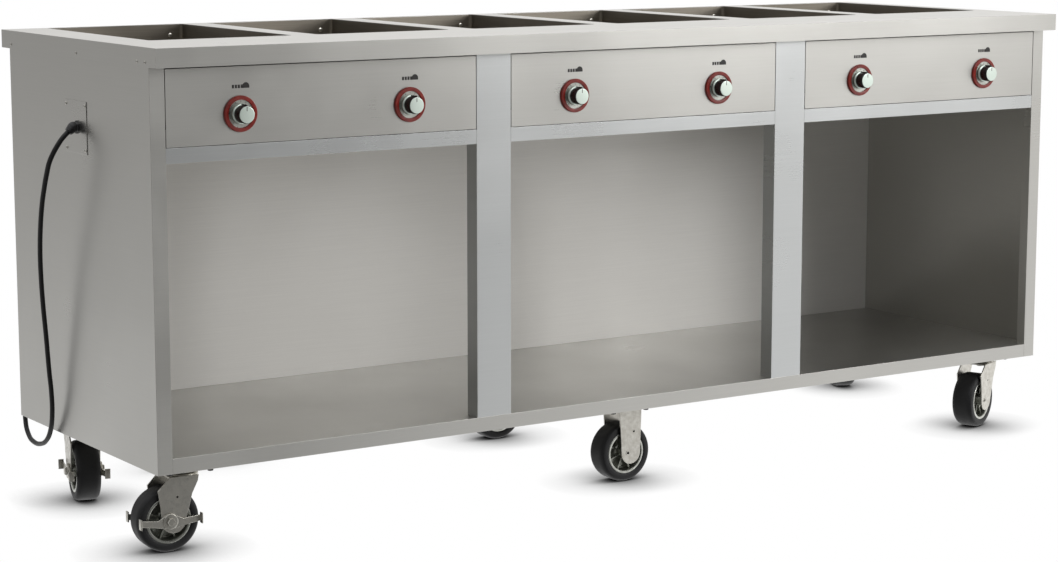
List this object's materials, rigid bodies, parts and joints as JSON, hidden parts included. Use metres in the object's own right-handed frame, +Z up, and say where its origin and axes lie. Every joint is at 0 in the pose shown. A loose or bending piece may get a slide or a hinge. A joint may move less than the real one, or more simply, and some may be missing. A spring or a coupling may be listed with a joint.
{
  "type": "steam table",
  "caption": "Mobile electric steam table: long stainless counter with heated wells, control knobs over open storage bays, on braked casters.",
  "frame": {"origin": "on the floor under the middle of the counter", "axes": "+Z up, +X to the right seen from the front, front of the unit towards -Y"},
  "size_m": [2.35, 0.859, 0.9782],
  "materials": {
    "stainless_brushed": "brushed, long grain",
    "stainless_inner": "dull rolled finish",
    "element_sheath": "heat-darkened",
    "copper_ring": "satin",
    "switch_cream": "matt",
    "zinc_plate": "zinc plated, satin",
    "black_nylon": "moulded",
    "cord_rubber": "matt",
    "black_phenolic": "satin",
    "tyre_rubber": "matt",
    "wheel_alloy": "cast"
  },
  "bodies": {
    "cabinet": {"counter_top": "stainless_brushed", "left_end_panel": "stainless_brushed", "right_end_panel": "stainless_brushed", "back_panel": "stainless_inner", "rear_panel": "stainless_brushed", "bottom_shelf": "stainless_brushed", "base_channels": "zinc_plate", "belly_pan": "stainless_inner", "mid_posts": "stainless_brushed", "front_rails": "stainless_brushed", "control_panel_left": "stainless_brushed", "control_panel_middle": "stainless_brushed", "control_panel_right": "stainless_brushed", "well_tub_1": "stainless_inner", "well_tub_2": "stainless_inner", "well_tub_3": "stainless_inner", "well_tub_4": "stainless_inner", "well_tub_5": "stainless_inner", "well_tub_6": "stainless_inner", "heating_elements": "element_sheath", "knob_bezels": "copper_ring", "heat_switches": "switch_cream", "caster_plates": "zinc_plate", "screws_and_bolts": "zinc_plate", "rigid_forks": "zinc_plate", "rigid_axles": "zinc_plate", "inlet_plate": "stainless_brushed", "cord_gland": "black_nylon", "cord_hook": "zinc_plate", "power_cord": "cord_rubber", "cord_coil": "cord_rubber", "power_plug": "cord_rubber"},
    "knob_1": {"knob_1": "black_phenolic"},
    "knob_2": {"knob_2": "black_phenolic"},
    "knob_3": {"knob_3": "black_phenolic"},
    "knob_4": {"knob_4": "black_phenolic"},
    "knob_5": {"knob_5": "black_phenolic"},
    "knob_6": {"knob_6": "black_phenolic"},
    "swivel_front_left": {"swivel_fork_front_left": "zinc_plate", "axle_front_left": "zinc_plate"},
    "wheel_front_left": {"wheel_core_front_left": "wheel_alloy", "tyre_front_left": "tyre_rubber"},
    "brake_front_left": {"brake_lever_front_left": "zinc_plate"},
    "swivel_front_right": {"swivel_fork_front_right": "zinc_plate", "axle_front_right": "zinc_plate"},
    "wheel_front_right": {"wheel_core_front_right": "wheel_alloy", "tyre_front_right": "tyre_rubber"},
    "swivel_rear_left": {"swivel_fork_rear_left": "zinc_plate", "axle_rear_left": "zinc_plate"},
    "wheel_rear_left": {"wheel_core_rear_left": "wheel_alloy", "tyre_rear_left": "tyre_rubber"},
    "brake_rear_left": {"brake_lever_rear_left": "zinc_plate"},
    "swivel_rear_right": {"swivel_fork_rear_right": "zinc_plate", "axle_rear_right": "zinc_plate"},
    "wheel_rear_right": {"wheel_core_rear_right": "wheel_alloy", "tyre_rear_right": "tyre_rubber"},
    "wheel_front_middle": {"wheel_core_front_middle": "wheel_alloy", "tyre_front_middle": "tyre_rubber"},
    "wheel_rear_middle": {"wheel_core_rear_middle": "wheel_alloy", "tyre_rear_middle": "tyre_rubber"}
  },
  "joints": [
    {"name": "knob_1_turn", "type": "hinge", "parent": "cabinet", "child": "knob_1", "pos_m": [-0.9545, -0.337, 0.846], "axis": [0, 1, 0], "range_deg": [0, 270]},
    {"name": "knob_2_turn", "type": "hinge", "parent": "cabinet", "child": "knob_2", "pos_m": [-0.5815, -0.337, 0.846], "axis": [0, 1, 0], "range_deg": [0, 270]},
    {"name": "knob_3_turn", "type": "hinge", "parent": "cabinet", "child": "knob_3", "pos_m": [-0.1865, -0.337, 0.846], "axis": [0, 1, 0], "range_deg": [0, 270]},
    {"name": "knob_4_turn", "type": "hinge", "parent": "cabinet", "child": "knob_4", "pos_m": [0.1865, -0.337, 0.846], "axis": [0, 1, 0], "range_deg": [0, 270]},
    {"name": "knob_5_turn", "type": "hinge", "parent": "cabinet", "child": "knob_5", "pos_m": [0.5815, -0.337, 0.846], "axis": [0, 1, 0], "range_deg": [0, 270]},
    {"name": "knob_6_turn", "type": "hinge", "parent": "cabinet", "child": "knob_6", "pos_m": [0.9545, -0.337, 0.846], "axis": [0, 1, 0], "range_deg": [0, 270]},
    {"name": "swivel_front_left", "type": "hinge", "parent": "cabinet", "child": "swivel_front_left", "pos_m": [-1.06, -0.27, 0.15], "axis": [0, 0, 1], "continuous": true},
    {"name": "roll_front_left", "type": "hinge", "parent": "swivel_front_left", "child": "wheel_front_left", "pos_m": [-1.09786, -0.26669, 0.0635], "axis": [0.0872, 0.9962, 0], "continuous": true},
    {"name": "brake_front_left", "type": "hinge", "parent": "swivel_front_left", "child": "brake_front_left", "pos_m": [-1.09786, -0.26669, 0.0635], "axis": [0.0872, 0.9962, 0], "range_deg": [-12, 12]},
    {"name": "swivel_front_right", "type": "hinge", "parent": "cabinet", "child": "swivel_front_right", "pos_m": [1.044, -0.26, 0.15], "axis": [0, 0, 1], "continuous": true},
    {"name": "roll_front_right", "type": "hinge", "parent": "swivel_front_right", "child": "wheel_front_right", "pos_m": [1.00877, -0.27424, 0.0635], "axis": [-0.3746, 0.9272, 0], "continuous": true},
    {"name": "swivel_rear_left", "type": "hinge", "parent": "cabinet", "child": "swivel_rear_left", "pos_m": [-1.053, 0.238, 0.15], "axis": [0, 0, 1], "continuous": true},
    {"name": "roll_rear_left", "type": "hinge", "parent": "swivel_rear_left", "child": "wheel_rear_left", "pos_m": [-1.06155, 0.20097, 0.0635], "axis": [-0.9744, 0.225, 0], "continuous": true},
    {"name": "brake_rear_left", "type": "hinge", "parent": "swivel_rear_left", "child": "brake_rear_left", "pos_m": [-1.06155, 0.20097, 0.0635], "axis": [-0.9744, 0.225, 0], "range_deg": [-12, 12]},
    {"name": "swivel_rear_right", "type": "hinge", "parent": "cabinet", "child": "swivel_rear_right", "pos_m": [1.052, 0.24, 0.15], "axis": [0, 0, 1], "continuous": true},
    {"name": "roll_rear_right", "type": "hinge", "parent": "swivel_rear_right", "child": "wheel_rear_right", "pos_m": [1.06746, 0.27471, 0.0635], "axis": [0.9135, -0.4067, 0], "continuous": true},
    {"name": "roll_front_middle", "type": "hinge", "parent": "cabinet", "child": "wheel_front_middle", "pos_m": [-0.018, -0.267, 0.0635], "axis": [0, 1, 0], "continuous": true},
    {"name": "roll_rear_middle", "type": "hinge", "parent": "cabinet", "child": "wheel_rear_middle", "pos_m": [-0.018, 0.24, 0.0635], "axis": [0, 1, 0], "continuous": true}
  ]
}
